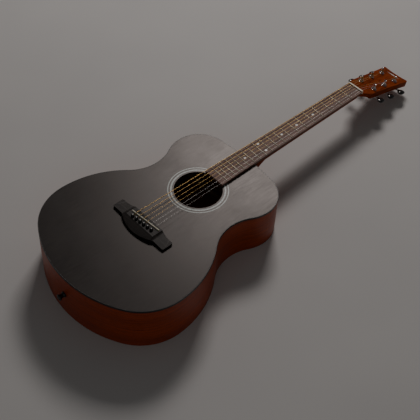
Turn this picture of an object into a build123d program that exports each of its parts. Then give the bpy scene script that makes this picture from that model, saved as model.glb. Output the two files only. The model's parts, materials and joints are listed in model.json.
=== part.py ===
from build123d import *
from math import atan2, cos, degrees, hypot, pi, radians, sin, tan
import os

# Steel-string acoustic guitar, built as its separate pieces.
# Everything is drawn in the instrument frame. Its origin is where the strings' centre line meets the front
# of the nut, on the playing surface of the fingerboard. +Y runs towards the head, +X is the treble side and
# +Z is up. At the end all pieces are turned together so that the flat back lies on Z = 0.

# ---------------------------------------------------------------- driving dimensions, in millimetres
# Lengths along Y are measured from the nut, so everything on the body has a negative one.
SCALE_LENGTH = 650.0
FRETS = 20
BODY_FRET = 14

# sound box
DEPTH_AT_TAIL = 120.0
DEPTH_AT_NECK = 98.0
LOWER_BOUT = 388.0
WAIST = 240.5
UPPER_BOUT = 287.0
BODY_LENGTH = 506.0
TOP_T = 2.8
BACK_T = 2.8
SIDE_T = 2.6
BINDING_W = 1.6
BINDING_H = 5.0
LINING_W = 6.0
LINING_H = 13.0
SOUNDHOLE_Y = -507.5
SOUNDHOLE_R = 53.0
ROSETTE = ((57.0, 60.4), (64.2, 66.4))
ROSETTE_T = 1.2

# body outline: where the bouts and the waist lie, from the tail, and the radii of their arcs
LOWER_AT = 142.5
WAIST_AT = 342.5
UPPER_AT = 431.0
LOWER_R = 121.5
UPPER_R = 70.0
WAIST_R_TAIL = 93.0
WAIST_R_NECK = 98.0

# blocks, braces and the neck's joint
NECK_BLOCK_X = 36.0
NECK_BLOCK_L = 48.0
TAIL_BLOCK_X = 42.0
TAIL_BLOCK_L = 19.0
TENON_L = 19.0
TENON_BOTTOM = -86.0
HEEL_CAP_T = 3.0
X_CROSS_Y = -590.0
X_HALF_ANGLE = 49.0
BACK_BRACE_Y = (-430.0, -520.0, -625.0, -735.0)
BRIDGE_PLATE_T = 2.5
STRAP_Z = -63.0
STRAP_PIN_R = 3.5

# truss rod
TRUSS_Z = -14.5
TRUSS_BOTTOM = -18.0
TRUSS_PIN_R = 2.4
TRUSS_BORE_R = 4.5
TRUSS_NUT_R = 4.0

# fingerboard, frets and nut
NUT_WIDTH = 43.0
NUT_LENGTH = 5.0
NUT_TOP = 2.4
BOARD_T = 6.0
BOARD_END = -462.0
BOARD_END_WIDTH = 54.0
FRET_W = 2.2
FRET_H = 1.1
TANG_W = 0.6
TANG_H = 1.6
DOTTED_FRETS = (5, 7, 9, 12, 15)
DOT_R = 3.0
SIDE_DOT_R = 1.0
CUT_RISE = 3.0

# head
HEAD_TILT = 14.0
HEAD_LENGTH = 175.0
HEAD_T = 14.4
HEAD_ROOT_HALF = 33.2
HEAD_TIP_HALF = 37.0
INLAY_S = 160.0
INLAY_HALF_W = 19.0
INLAY_HALF_L = 2.2

# bridge, saddle and pins
BRIDGE_HALF = 79.5
BRIDGE_FRONT = -645.0
WING_FRONT = -648.5
BRIDGE_REAR = -676.0
BELLY_HALF = 51.0
BELLY_END = -691.0
WING_END_H = 4.8
WING_ROOT_H = 6.4
SCOOP_HALF = 49.0
PLATEAU_H = 9.0
PLATEAU_HALF = 42.0
RIDGE_Y = -671.0
BELLY_EDGE_H = 5.0
SADDLE_BASS = Vector(-39.4, -657.0, 0)
SADDLE_TREBLE = Vector(39.4, -650.5, 0)
SADDLE_T = 3.0
SADDLE_SLOT = 6.0
SADDLE_RISE = 2.2
PIN_PITCH = 10.8
PIN_Y = -663.5
PIN_R = 2.55
PIN_HOLE_R = 2.6
PIN_HEAD_R = 3.9
PIN_GROOVE = 1.8
PIN_END = -18.0

# strings, from the low E to the high E
STRINGS = 6
BASS_STRINGS = 3
STRING_R = (0.67, 0.53, 0.40, 0.30, 0.20, 0.15)
NUT_SPREAD = 35.0
ACTION_NUT = 1.5
ACTION_BRIDGE = 5.1
STRING_BEND = 1.4
STRING_PLAY = 0.03
BALL_R = 2.1
BALL_L = 3.4

# tuners: a single-start worm on the button's shaft turns an 18-tooth wheel on the foot of the post
POST_X = 20.5
POST_S = (51.0, 93.5, 137.0)
POST_R = 3.0
POST_WAIST_R = 2.5
POST_WAIST = (5.4, 8.3, 11.2)
POST_HOLE_H = 9.9
POST_HOLE_R = 0.85
POST_TOP = 13.8
WRAP_HEIGHT = 6.6
BUSH_R = 4.6
TEETH = 18
MODULE = 0.5
WORM_TURNS = 5
WORM_R = 2.0
WORM_TIP_R = 2.45
WORM_CORE_R = 1.35
WHEEL_TIP_R = 4.95
WHEEL_ROOT_R = 3.85
WHEEL_T = 3.6
THREAD_HALF = 0.32
TOOTH_HALF = 0.27
GEAR_Z = -18.8
PIVOT_R = 1.5
PIVOT_L = 1.0
HOUSING_T = 8.8
HOUSING_HALF = 7.0
HOUSING_END = 6.4
SHAFT_R = 1.7
STUB_R = 1.0
FIT = 0.05
BUTTON_START = 22.5
BUTTON_L = 15.0
BUTTON_HALF_W = 10.2
BUTTON_HALF_T = 4.2
SCREW_X = 18.0
SCREW_OFF = 9.4
SCREW_R = 1.0
SCREW_DEPTH = 7.0
LUG_T = 2.0

# ---------------------------------------------------------------- levels and positions worked out from them
TOP_Z = -BOARD_T
TOP_UNDER = TOP_Z - TOP_T
NECK_JOINT_Y = -SCALE_LENGTH * (1 - 2 ** (-BODY_FRET / 12))
TAIL_Y = NECK_JOINT_Y - BODY_LENGTH
LOWER_Y = TAIL_Y + LOWER_AT
WAIST_Y = TAIL_Y + WAIST_AT
UPPER_Y = TAIL_Y + UPPER_AT
NECK_BLOCK_Y = NECK_JOINT_Y - NECK_BLOCK_L
TAIL_BLOCK_Y = TAIL_Y + TAIL_BLOCK_L
BACK_TILT = degrees(atan2(DEPTH_AT_TAIL - DEPTH_AT_NECK, BODY_LENGTH))
BACK = Plane(
    origin=(0, NECK_JOINT_Y, TOP_Z - DEPTH_AT_NECK),
    x_dir=(1, 0, 0),
    z_dir=(0, -sin(radians(BACK_TILT)), cos(radians(BACK_TILT))),
)
ON_BACK = BACK.offset(BACK_T)
UNDER_TOP = Plane(origin=(0, 0, TOP_UNDER), x_dir=(1, 0, 0), z_dir=(0, 0, -1))
HEAD = Plane(
    origin=(0, 0, TOP_Z),
    x_dir=(1, 0, 0),
    z_dir=(0, sin(radians(HEAD_TILT)), cos(radians(HEAD_TILT))),
)
BRIDGE_TOP = TOP_Z + PLATEAU_H
SADDLE_FOOT = BRIDGE_TOP - SADDLE_SLOT
SADDLE_TOP = BRIDGE_TOP + SADDLE_RISE
SADDLE_SLOPE = (SADDLE_TREBLE.Y - SADDLE_BASS.Y) / (SADDLE_TREBLE.X - SADDLE_BASS.X)
WORM_PITCH = pi * MODULE
WORM_L = WORM_PITCH * WORM_TURNS
WHEEL_R = TEETH * MODULE / 2
CENTRES = WORM_R + WHEEL_R
FLANK = tan(radians(20))
FAR = 400.0

# ---------------------------------------------------------------- body outline
# Half of the outline is eight tangent arcs, from the tail to the neck joint. Each entry is the arc's centre,
# its radius and +1 where it bulges outwards or -1 at the waist.


def joining_radius(half_difference, run):
    """The sum of the radii of two touching arcs that shift a side by half_difference over run."""
    return (half_difference**2 + run**2) / (2 * half_difference)


def end_radius(side_x, rise, corner_r):
    """The radius of the end arc that closes a bout whose corner arc has its centre at side_x."""
    return (side_x**2 + rise**2 - corner_r**2) / (2 * (rise - corner_r))


def outline_arcs():
    lower_r2 = joining_radius((LOWER_BOUT - WAIST) / 2, WAIST_Y - LOWER_Y) - WAIST_R_TAIL
    upper_r1 = joining_radius((UPPER_BOUT - WAIST) / 2, UPPER_Y - WAIST_Y) - WAIST_R_NECK
    tail_r = end_radius(LOWER_BOUT / 2 - LOWER_R, LOWER_Y - TAIL_Y, LOWER_R)
    shoulder_r = end_radius(UPPER_BOUT / 2 - UPPER_R, NECK_JOINT_Y - UPPER_Y, UPPER_R)
    return (
        ((0, TAIL_Y + tail_r), tail_r, 1),
        ((LOWER_BOUT / 2 - LOWER_R, LOWER_Y), LOWER_R, 1),
        ((LOWER_BOUT / 2 - lower_r2, LOWER_Y), lower_r2, 1),
        ((WAIST / 2 + WAIST_R_TAIL, WAIST_Y), WAIST_R_TAIL, -1),
        ((WAIST / 2 + WAIST_R_NECK, WAIST_Y), WAIST_R_NECK, -1),
        ((UPPER_BOUT / 2 - upper_r1, UPPER_Y), upper_r1, 1),
        ((UPPER_BOUT / 2 - UPPER_R, UPPER_Y), UPPER_R, 1),
        ((0, NECK_JOINT_Y - shoulder_r), shoulder_r, 1),
    )


def tangent_point(arc, other):
    """Where two touching arcs meet, on the line through their centres."""
    (ax, ay), ar, a_sign = arc
    (bx, by), br, b_sign = other
    span = hypot(bx - ax, by - ay)
    towards = 1 if a_sign != b_sign or ar > br else -1
    return ax + towards * ar * (bx - ax) / span, ay + towards * ar * (by - ay) / span


def inset_arc(arc, inset):
    centre, r, sign = arc
    return centre, r - sign * inset, sign


def middle_of(arc, start, end):
    """The point half way along an arc of less than half a turn."""
    (cx, cy), r, _ = arc
    mx = (start[0] + end[0]) / 2 - cx
    my = (start[1] + end[1]) / 2 - cy
    return cx + r * mx / hypot(mx, my), cy + r * my / hypot(mx, my)


def half_outline(inset, side):
    """The tangent arcs of one side, from the tail to the neck joint, moved in by inset."""
    arcs = [inset_arc(a, inset) for a in outline_arcs()]
    ends = [(0, TAIL_Y + inset)]
    ends += [tangent_point(a, b) for a, b in zip(arcs, arcs[1:])]
    ends += [(0, NECK_JOINT_Y - inset)]
    edges = []
    for arc, start, end in zip(arcs, ends, ends[1:]):
        mid = middle_of(arc, start, end)
        edges.append(ThreePointArc(*[(side * x, y) for x, y in (start, mid, end)]))
    return edges


def outline_face(inset, level):
    face = Face(Wire(half_outline(inset, 1) + half_outline(inset, -1)))
    return Pos(0, 0, level) * face


def outline_prism(inset, top=TOP_Z, bottom=-FAR):
    return up(extrude(outline_face(inset, bottom), top - bottom, dir=(0, 0, 1)))


def up(shape):
    """One plain solid, or a compound of several."""
    solids = shape.solids()
    return solids[0] if len(solids) == 1 else Compound(children=list(solids))


# ---------------------------------------------------------------- small helpers
def box(x0, x1, y0, y1, z0, z1):
    return Pos((x0 + x1) / 2, (y0 + y1) / 2, (z0 + z1) / 2) * Box(x1 - x0, y1 - y0, z1 - z0)


def slab(low, high):
    """The layer between two heights above the outer face of the back, parallel to it."""
    return BACK.location * box(-FAR, FAR, -2 * FAR, FAR, low, high)


def rod(start, end, r):
    """A round bar between two points."""
    start, end = Vector(*start), Vector(*end)
    run = end - start
    return Plane(origin=start, z_dir=run).location * Pos(0, 0, run.length / 2) * Cylinder(r, run.length)


def bar_in(plane, x, y, z0, z1, r):
    """A round bar square to a plane, between two heights over it."""
    return plane.location * Pos(x, y, (z0 + z1) / 2) * Cylinder(r, z1 - z0)


def prism(plane, points, amount):
    return extrude(plane.location * Face(Wire.make_polygon(points, close=True)), amount, dir=plane.z_dir)


def fret_y(n):
    return -SCALE_LENGTH * (1 - 2 ** (-n / 12))


def board_half(y):
    return NUT_WIDTH / 2 + (BOARD_END_WIDTH - NUT_WIDTH) / 2 * y / BOARD_END


# ---------------------------------------------------------------- the sound box


def pin_x(i):
    return (i - 2.5) * PIN_PITCH


def pin_y(i):
    """The pins stand in a line that slants as the saddle does."""
    return PIN_Y + SADDLE_SLOPE * pin_x(i)


def pin_holes():
    holes = []
    for i in range(STRINGS):
        holes.append(up(bar_in(Plane.XY, pin_x(i), pin_y(i), TOP_UNDER - 20, TOP_Z + 20, PIN_HOLE_R)))
    return Compound(children=holes)


def rosette_rings():
    rings = []
    for inner, outer in ROSETTE:
        ring = Cylinder(outer, ROSETTE_T) - Cylinder(inner, ROSETTE_T)
        rings.append(up(Pos(0, SOUNDHOLE_Y, TOP_Z - ROSETTE_T / 2) * ring))
    return Compound(children=rings)


def top_plate():
    plate = outline_prism(BINDING_W, TOP_Z, TOP_UNDER)
    plate -= bar_in(Plane.XY, 0, SOUNDHOLE_Y, TOP_UNDER, TOP_Z, SOUNDHOLE_R)
    plate -= rosette_rings()
    plate -= pin_holes()
    return up(plate)


def back_plate():
    return up(outline_prism(0) & slab(0, BACK_T))


def side_walls():
    """The two bent sides, butted on the centre line, with the step that the binding sits in."""
    wall = outline_prism(0, TOP_UNDER) - outline_prism(SIDE_T, TOP_UNDER)
    step_z = TOP_Z - BINDING_H
    wall -= outline_prism(0, TOP_UNDER, step_z) - outline_prism(BINDING_W, TOP_UNDER, step_z)
    wall &= slab(BACK_T, FAR)
    wall -= tenon()
    wall -= strap_hole()
    treble = up(wall & box(0, FAR, -3 * FAR, FAR, -FAR, FAR))
    bass = up(wall & box(-FAR, 0, -3 * FAR, FAR, -FAR, FAR))
    return bass, treble


def top_binding():
    strip = outline_prism(0, TOP_Z, TOP_Z - BINDING_H) - outline_prism(BINDING_W, TOP_Z, TOP_Z - BINDING_H)
    return up(strip - tenon())


def tenon():
    """The dovetail that locks the neck into the neck block."""
    mouth, root = 9.0, 13.0
    points = [
        (-mouth, NECK_JOINT_Y + 3),
        (mouth, NECK_JOINT_Y + 3),
        (root, NECK_JOINT_Y - TENON_L),
        (-root, NECK_JOINT_Y - TENON_L),
    ]
    return up(prism(Plane.XY.offset(TENON_BOTTOM), points, TOP_UNDER - TENON_BOTTOM))


def truss_bore(far_end):
    return up(rod((0, NECK_JOINT_Y - TENON_L + 4, TRUSS_Z), (0, far_end, TRUSS_Z), TRUSS_BORE_R))


def strap_hole():
    return up(rod((0, TAIL_Y - 2, STRAP_Z), (0, TAIL_Y + 24, STRAP_Z), STRAP_PIN_R))


def inside(inset):
    """The room inside the walls, between the top and the back."""
    return outline_prism(inset, TOP_UNDER) & slab(BACK_T, FAR)


def block_region():
    neck_end = box(-NECK_BLOCK_X, NECK_BLOCK_X, NECK_BLOCK_Y, NECK_JOINT_Y + 5, -FAR, TOP_Z)
    tail_end = box(-TAIL_BLOCK_X, TAIL_BLOCK_X, TAIL_Y - 5, TAIL_BLOCK_Y, -FAR, TOP_Z)
    return neck_end, tail_end


def neck_block():
    block = inside(SIDE_T) & block_region()[0]
    block -= tenon()
    block -= truss_bore(NECK_BLOCK_Y - 1)
    return up(block)


def tail_block():
    return up((inside(SIDE_T) & block_region()[1]) - strap_hole())


def linings():
    ring = inside(SIDE_T) - inside(SIDE_T + LINING_W)
    for block in block_region():
        ring -= block
    top = ring & box(-FAR, FAR, -3 * FAR, FAR, TOP_UNDER - LINING_H, TOP_UNDER)
    back = ring & slab(BACK_T, BACK_T + LINING_H)
    return up(top), up(back)


# ---------------------------------------------------------------- bracing


def brace(start, end, width, height, plane, drop=0.7):
    """A bar glued under a plane, with a gabled lower edge and ends that taper away."""
    run = hypot(end[0] - start[0], end[1] - start[1])
    turn = degrees(atan2(end[1] - start[1], end[0] - start[0]))
    taper = min(45.0, run / 4)
    end_height, eaves, ridge = height * (1 - drop), height * 0.45, 0.8
    side = [(0, 0), (run, 0), (run, end_height), (run - taper, height), (taper, height), (0, end_height)]
    gable = [(-width / 2, 0), (width / 2, 0), (width / 2, eaves)]
    gable += [(ridge, height), (-ridge, height), (-width / 2, eaves)]
    lengthwise = extrude(Plane.XZ.location * Face(Wire.make_polygon(side, close=True)), width / 2, both=True)
    crosswise = prism(Plane.YZ, gable, run)
    return plane.location * Pos(start[0], start[1], 0) * Rot(0, 0, turn) * (lengthwise & crosswise)


def top_brace(start, end, width, height):
    """A brace under the top. The plane under it faces down, so its own Y runs towards the tail."""
    return brace((start[0], -start[1]), (end[0], -end[1]), width, height, UNDER_TOP)


def top_braces():
    reach = 250.0
    run_x = reach * sin(radians(X_HALF_ANGLE))
    run_y = reach * cos(radians(X_HALF_ANGLE))
    room = inside(SIDE_T + LINING_W)
    leg_a = top_brace((-run_x, X_CROSS_Y - run_y), (run_x, X_CROSS_Y + run_y), 8, 15)
    leg_b = top_brace((run_x, X_CROSS_Y - run_y), (-run_x, X_CROSS_Y + run_y), 8, 15)
    upper = top_brace((-150, -433), (150, -433), 11, 18)
    upper -= rod((0, -420, TRUSS_Z), (0, -446, TRUSS_Z), TRUSS_BORE_R + 1)
    bars = [leg_a + leg_b, upper]
    for start, end in (((-92, -716), (70, -752)), ((-62, -768), (82, -800))):
        bars.append(top_brace(start, end, 7, 12))
    for side in (-1, 1):
        bars.append(top_brace((side * 84, -650), (side * 190, -640), 6, 9))
        bars.append(top_brace((side * 122, -688), (side * 200, -694), 6, 9))
    return Compound(children=[up(b & room) for b in bars])


def bridge_plate():
    points = [(-50, -640), (50, -640), (92, -692), (-92, -692)]
    plate = prism(Plane.XY.offset(TOP_UNDER - BRIDGE_PLATE_T), points, BRIDGE_PLATE_T)
    return up(plate - pin_holes())


def back_braces():
    room = inside(SIDE_T + LINING_W)
    bars = []
    for y in BACK_BRACE_Y:
        local_y = (y - NECK_JOINT_Y) / cos(radians(BACK_TILT))
        bars.append(up(brace((-200, local_y), (200, local_y), 10, 14, ON_BACK, 0.5) & room))
    return Compound(children=bars)


def back_seam_strip():
    strip = BACK.location * box(-8, 8, -2 * FAR, 0, BACK_T, BACK_T + 2)
    strip &= box(-9, 9, TAIL_BLOCK_Y, NECK_BLOCK_Y, -FAR, 0)
    return up(strip - back_braces())


# ---------------------------------------------------------------- bridge, saddle, pins, strap button


def saddle_frame():
    run = SADDLE_TREBLE - SADDLE_BASS
    return Plane(origin=(SADDLE_BASS + SADDLE_TREBLE) * 0.5, x_dir=run, z_dir=(0, 0, 1)), run.length


def saddle_y(x):
    return (SADDLE_BASS.Y + SADDLE_TREBLE.Y) / 2 + SADDLE_SLOPE * x


def bridge_plan():
    """The bridge seen from above: wings that narrow in front and a belly that bulges to the tail."""
    front_half = PLATEAU_HALF + 3
    edges = [Line((-front_half, BRIDGE_FRONT), (front_half, BRIDGE_FRONT))]
    for side in (-1, 1):
        tip, root = (side * BRIDGE_HALF, WING_FRONT), (side * front_half, BRIDGE_FRONT)
        waist = (side * (front_half + 9), WING_FRONT + 1.0)
        edges.append(ThreePointArc(root, waist, tip))
        edges.append(Line(tip, (side * BRIDGE_HALF, BRIDGE_REAR)))
        edges.append(Line((side * BRIDGE_HALF, BRIDGE_REAR), (side * BELLY_HALF, BRIDGE_REAR)))
    edges.append(ThreePointArc((BELLY_HALF, BRIDGE_REAR), (0, BELLY_END), (-BELLY_HALF, BRIDGE_REAR)))
    return Face(Wire(edges))


def bridge_profile():
    """The bridge seen from the tail: a level plateau, a scoop at each end of it and sloping wings."""
    end_x = BRIDGE_HALF + 5
    end_h = WING_END_H - (WING_ROOT_H - WING_END_H) * 5 / (BRIDGE_HALF - SCOOP_HALF)
    run, rise = SCOOP_HALF - PLATEAU_HALF, PLATEAU_H - WING_ROOT_H
    edges = [Line((-end_x, -1), (end_x, -1)), Line((-PLATEAU_HALF, PLATEAU_H), (PLATEAU_HALF, PLATEAU_H))]
    for side in (-1, 1):
        foot, lip = (side * SCOOP_HALF, WING_ROOT_H), (side * PLATEAU_HALF, PLATEAU_H)
        hollow = (side * (SCOOP_HALF - 0.62 * run), WING_ROOT_H + 0.38 * rise)
        edges.append(ThreePointArc(foot, hollow, lip))
        edges.append(Line((side * end_x, end_h), foot))
        edges.append(Line((side * end_x, -1), (side * end_x, end_h)))
    return Face(Wire(edges))


def bridge_block():
    plan = extrude(Pos(0, 0, TOP_Z) * bridge_plan(), PLATEAU_H, dir=(0, 0, 1))
    corner_edges = [e for e in plan.edges().filter_by(Axis.Z) if abs(e.center().X) > BRIDGE_HALF - 1]
    plan = fillet(corner_edges, 3.0)
    from_tail = Plane(origin=(0, BELLY_END - 2, TOP_Z), x_dir=(1, 0, 0), z_dir=(0, -1, 0))
    body = plan & extrude(from_tail.location * bridge_profile(), 60, dir=(0, 1, 0))
    fall = atan2(PLATEAU_H - BELLY_EDGE_H, RIDGE_Y - BELLY_END)
    sloped = Plane(origin=(0, RIDGE_Y, BRIDGE_TOP), x_dir=(1, 0, 0), z_dir=(0, -sin(fall), cos(fall)))
    return body - sloped.location * box(-FAR, FAR, -60, 0, 0, 30)


def bridge():
    body = bridge_block()
    frame, length = saddle_frame()
    slot = frame.location * SlotOverall(length, SADDLE_T)
    body -= Pos(0, 0, SADDLE_FOOT) * extrude(slot, 20)
    body -= pin_holes()
    for i in range(STRINGS):
        body -= string_ramp(i)
    return up(body)


def string_ramp(i):
    """The slot that leads a string from behind the saddle down into its pin hole."""
    x = pin_x(i)
    start = saddle_y(x) - SADDLE_T / 2 - 0.6
    r = STRING_R[i]
    pin = pin_y(i)
    deep = BRIDGE_TOP - 6
    points = [(start, BRIDGE_TOP + 1), (pin + PIN_HEAD_R, BRIDGE_TOP - 2 * r - 0.6)]
    points += [(pin + 1, deep), (pin, deep), (pin, BRIDGE_TOP + 1)]
    side = Plane(origin=(x - r - 0.25, 0, 0), x_dir=(0, 1, 0), z_dir=(1, 0, 0))
    return up(prism(side, points, 2 * r + 0.5))


def saddle():
    frame, length = saddle_frame()
    blank = extrude(SlotOverall(length, SADDLE_T), SADDLE_TOP - SADDLE_FOOT)
    blank = frame.location * (Pos(0, 0, SADDLE_FOOT) * blank)
    top_edges = blank.faces().sort_by(Axis.Z)[-1].edges()
    blank = fillet(top_edges, SADDLE_T / 2 - 0.25)
    for i in range(STRINGS):
        blank -= string_body(i, STRING_R[i] + STRING_PLAY)
    return up(blank)


def bridge_pin(i):
    """A turned pin with a domed head and a groove that the string runs down."""
    seat = BRIDGE_TOP + FIT
    foot = PIN_END - seat
    edges = [
        Line((0, foot), (PIN_R, foot)),
        Line((PIN_R, foot), (PIN_R, 0)),
        Line((PIN_R, 0), (PIN_HEAD_R, 0)),
        Line((PIN_HEAD_R, 0), (PIN_HEAD_R, 1.0)),
        ThreePointArc((PIN_HEAD_R, 1.0), (PIN_HEAD_R * 0.76, 4.0), (0.8, 5.2)),
        Line((0.8, 5.2), (0, 5.2)),
        Line((0, 5.2), (0, foot)),
    ]
    turned = revolve(Plane.XZ.location * Face(Wire(edges)), Axis.Z)
    floor = PIN_R - PIN_GROOVE
    turned -= box(-PIN_GROOVE / 2, PIN_GROOVE / 2, floor, PIN_HEAD_R + 1, foot - 1, -0.001)
    return up(Pos(pin_x(i), pin_y(i), seat) * turned)


def strap_button():
    """The button is turned in one piece with the peg that is pressed into the tail block."""
    edges = [
        Line((0, -22), (STRAP_PIN_R, -22)),
        Line((STRAP_PIN_R, -22), (STRAP_PIN_R, 0)),
        Line((STRAP_PIN_R, 0), (6.5, 0)),
        Line((6.5, 0), (6.5, 1.5)),
        ThreePointArc((6.5, 1.5), (4.6, 6.0), (6.2, 10.5)),
        ThreePointArc((6.2, 10.5), (7.4, 12.4), (6.0, 14.4)),
        ThreePointArc((6.0, 14.4), (3.8, 15.6), (1.2, 16.0)),
        Line((1.2, 16.0), (0, 16.0)),
        Line((0, 16.0), (0, -22)),
    ]
    turned = revolve(Plane.XZ.location * Face(Wire(edges)), Axis.Z)
    outwards = Plane(origin=(0, TAIL_Y, STRAP_Z), x_dir=(1, 0, 0), z_dir=(0, -1, 0))
    return up(outwards.location * turned)


# ---------------------------------------------------------------- neck


def d_section(plane, half_width, depth, squareness):
    """A flat-topped section: a superellipse below the plane's own X axis, and straight walls above it."""
    count = 14
    points = []
    for k in range(count + 1):
        c, s = cos(pi * k / count), sin(pi * k / count)
        reach = (abs(c) ** squareness + abs(s) ** squareness) ** (-1 / squareness)
        points.append((half_width * reach * c, -depth * reach * s))
    curve = Spline(points, tangents=[(0, -1), (0, 1)])
    walls = [
        Line((-half_width, 0), (-half_width, CUT_RISE)),
        Line((-half_width, CUT_RISE), (half_width, CUT_RISE)),
        Line((half_width, CUT_RISE), (half_width, 0)),
    ]
    return plane.location * Face(Wire([curve] + walls))


def across_neck(y):
    return Plane(origin=(0, y, TOP_Z), x_dir=(1, 0, 0), z_dir=(0, -1, 0))


def across_head(s):
    origin = HEAD.from_local_coords((0, s, 0))
    return Plane(origin=origin, x_dir=(1, 0, 0), z_dir=-HEAD.y_dir)


def neck_shaft():
    """From inside the heel to the start of the head plate, rounded at the back."""
    stations = [(-352, 19.0), (-250, 17.2), (-130, 16.0), (-14, 15.0)]
    shaft = [d_section(across_neck(y), board_half(y), depth, 2.1) for y, depth in stations]
    flare = [shaft[-1]]
    for s, half, depth, squareness in ((8, 22.6, 16.2, 2.5), (20, 29.3, 15.3, 3.6), (32, 33.2, 14.5, 6.0)):
        flare.append(d_section(across_head(s), half, depth, squareness))
    return loft(shaft, ruled=True) + loft(flare)


def heel_blank():
    """The heel, as level slices that shrink towards the back of the body."""
    slices = [(-9, 74, 25), (-22, 50, 24.5), (-30, 34, 23.2), (-42, 25, 21)]
    slices += [(-62, 19, 17.5), (-84, 16, 14), (-112, 14, 11)]
    sections = []
    for z, length, half in slices:
        level = Plane(origin=(0, NECK_JOINT_Y, z), x_dir=(1, 0, 0), z_dir=(0, 0, -1))
        sections.append(d_section(level, half, length, 2.1))
    return loft(sections) - outline_prism(0)


def head_plate():
    start, start_half, swell = 26.0, 32.0, 34.0
    tip, dip = HEAD_LENGTH, 4.0
    edges = [Line((-start_half, start), (start_half, start))]
    for side in (-1, 1):
        root, corner = (side * HEAD_ROOT_HALF, swell), (side * HEAD_TIP_HALF, tip)
        edges.append(Line((side * start_half, start), root))
        edges.append(ThreePointArc(root, (side * 34.1, 100), corner))
    edges.append(ThreePointArc((-HEAD_TIP_HALF, tip), (0, tip - dip), (HEAD_TIP_HALF, tip)))
    plate = extrude(HEAD.location * Face(Wire(edges)), HEAD_T, dir=-HEAD.z_dir)
    corners = plate.edges().filter_by(Axis((0, 0, 0), HEAD.z_dir))
    tips = [e for e in corners if HEAD.to_local_coords(e.center()).Y > tip - 5]
    return fillet(tips, 3.5)


def neck_top_cut():
    """Everything above the gluing face of the fingerboard and above the face of the head."""
    over_board = box(-80, 80, -420, 0, TOP_Z, TOP_Z + 40)
    over_head = HEAD.location * box(-80, 80, 0, 220, 0, 40)
    under_nut = box(-80, 80, -2, 12, TOP_Z, TOP_Z + 40)
    return over_board, over_head, under_nut


def neck():
    wood = neck_shaft() + head_plate()
    wood += heel_blank() & slab(HEEL_CAP_T, FAR)
    wood -= outline_prism(0)
    for cut in neck_top_cut():
        wood -= cut
    wood += tenon() - truss_bore(NECK_JOINT_Y - TENON_L - 1)
    wood -= box(-3, 3, NECK_JOINT_Y, -12, TRUSS_BOTTOM, TOP_Z + 1)
    wood -= rod((0, NECK_JOINT_Y + 2, TRUSS_Z), (0, NECK_JOINT_Y - TENON_L - 1, TRUSS_Z), TRUSS_PIN_R)
    for tuner in range(STRINGS):
        s, side = tuner_place(tuner)
        wood -= bar_in(HEAD, side * POST_X, s, -HEAD_T - 1, 1, BUSH_R)
        wood -= bar_in(HEAD, side * SCREW_X, s - SCREW_OFF, -HEAD_T - 1, -HEAD_T + SCREW_DEPTH, SCREW_R)
    wood -= head_inlay()
    return up(wood)


def heel_cap():
    return up(heel_blank() & slab(0.4, HEEL_CAP_T))


def head_inlay():
    """A plain slim lozenge of shell let into the face of the head, across its tip."""
    points = [(-INLAY_HALF_W, 0), (0, INLAY_HALF_L), (INLAY_HALF_W, 0), (0, -INLAY_HALF_L)]
    lozenge = Pos(0, INLAY_S, 0) * Face(Wire.make_polygon(points, close=True))
    return up(extrude(HEAD.location * lozenge, 1.0, dir=-HEAD.z_dir))


def truss_rod():
    bar = box(-3, 3, NECK_JOINT_Y, -12, TRUSS_BOTTOM, TOP_Z - 1.5)
    pin = rod((0, NECK_JOINT_Y, TRUSS_Z), (0, NECK_JOINT_Y - TENON_L - 5, TRUSS_Z), TRUSS_PIN_R)
    return up(bar + pin)


def truss_rod_nut():
    near, far = NECK_JOINT_Y - TENON_L + 3.5, NECK_JOINT_Y - TENON_L - 14
    nut = rod((0, near, TRUSS_Z), (0, far, TRUSS_Z), TRUSS_NUT_R)
    nut -= rod((0, near + 1, TRUSS_Z), (0, far + 8, TRUSS_Z), TRUSS_PIN_R + FIT)
    socket = Plane(origin=(0, far, TRUSS_Z), x_dir=(1, 0, 0), z_dir=(0, 1, 0))
    nut -= extrude(socket.location * RegularPolygon(2.9, 6), 6)
    return up(nut)


# ---------------------------------------------------------------- fingerboard, frets, dots, nut
def board_blank():
    half0, half1 = NUT_WIDTH / 2, BOARD_END_WIDTH / 2
    points = [(-half0, 0), (half0, 0), (half1, BOARD_END), (-half1, BOARD_END)]
    return prism(Plane.XY.offset(TOP_Z), points, BOARD_T)


def position_dots():
    solids = []
    blank = board_blank()
    for n in DOTTED_FRETS:
        y = (fret_y(n - 1) + fret_y(n)) / 2
        for x in (-13, 13) if n == 12 else (0,):
            solids.append(up(bar_in(Plane.XY, x, y, -1.2, 0, DOT_R)))
        edge = board_half(y)
        for dy in (-4, 4) if n == 12 else (0,):
            side_dot = rod((-edge - 2, y + dy, -2.6), (-edge + 2, y + dy, -2.6), SIDE_DOT_R)
            solids.append(up(blank & side_dot))
    return Compound(children=solids)


def fret(n, tang_only=False):
    y = fret_y(n)
    half = board_half(y)
    across = Plane(origin=(-half, y, 0), x_dir=(0, 1, 0), z_dir=(1, 0, 0))
    tang = extrude(across.location * (Pos(0, -TANG_H / 2) * Rectangle(TANG_W, TANG_H)), 2 * half)
    if tang_only:
        return tang
    low, high = (-FRET_W / 2, 0), (FRET_W / 2, 0)
    crown = Face(Wire([Line(high, low), ThreePointArc(low, (0, FRET_H), high)]))
    crown = extrude(across.location * crown, 2 * half, dir=(1, 0, 0))
    return tang + crown


def frets():
    return Compound(children=[up(fret(n)) for n in range(1, FRETS + 1)])


def fingerboard():
    board = board_blank()
    for n in range(1, FRETS + 1):
        board -= fret(n, tang_only=True)
    board -= position_dots()
    return up(board)


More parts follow.
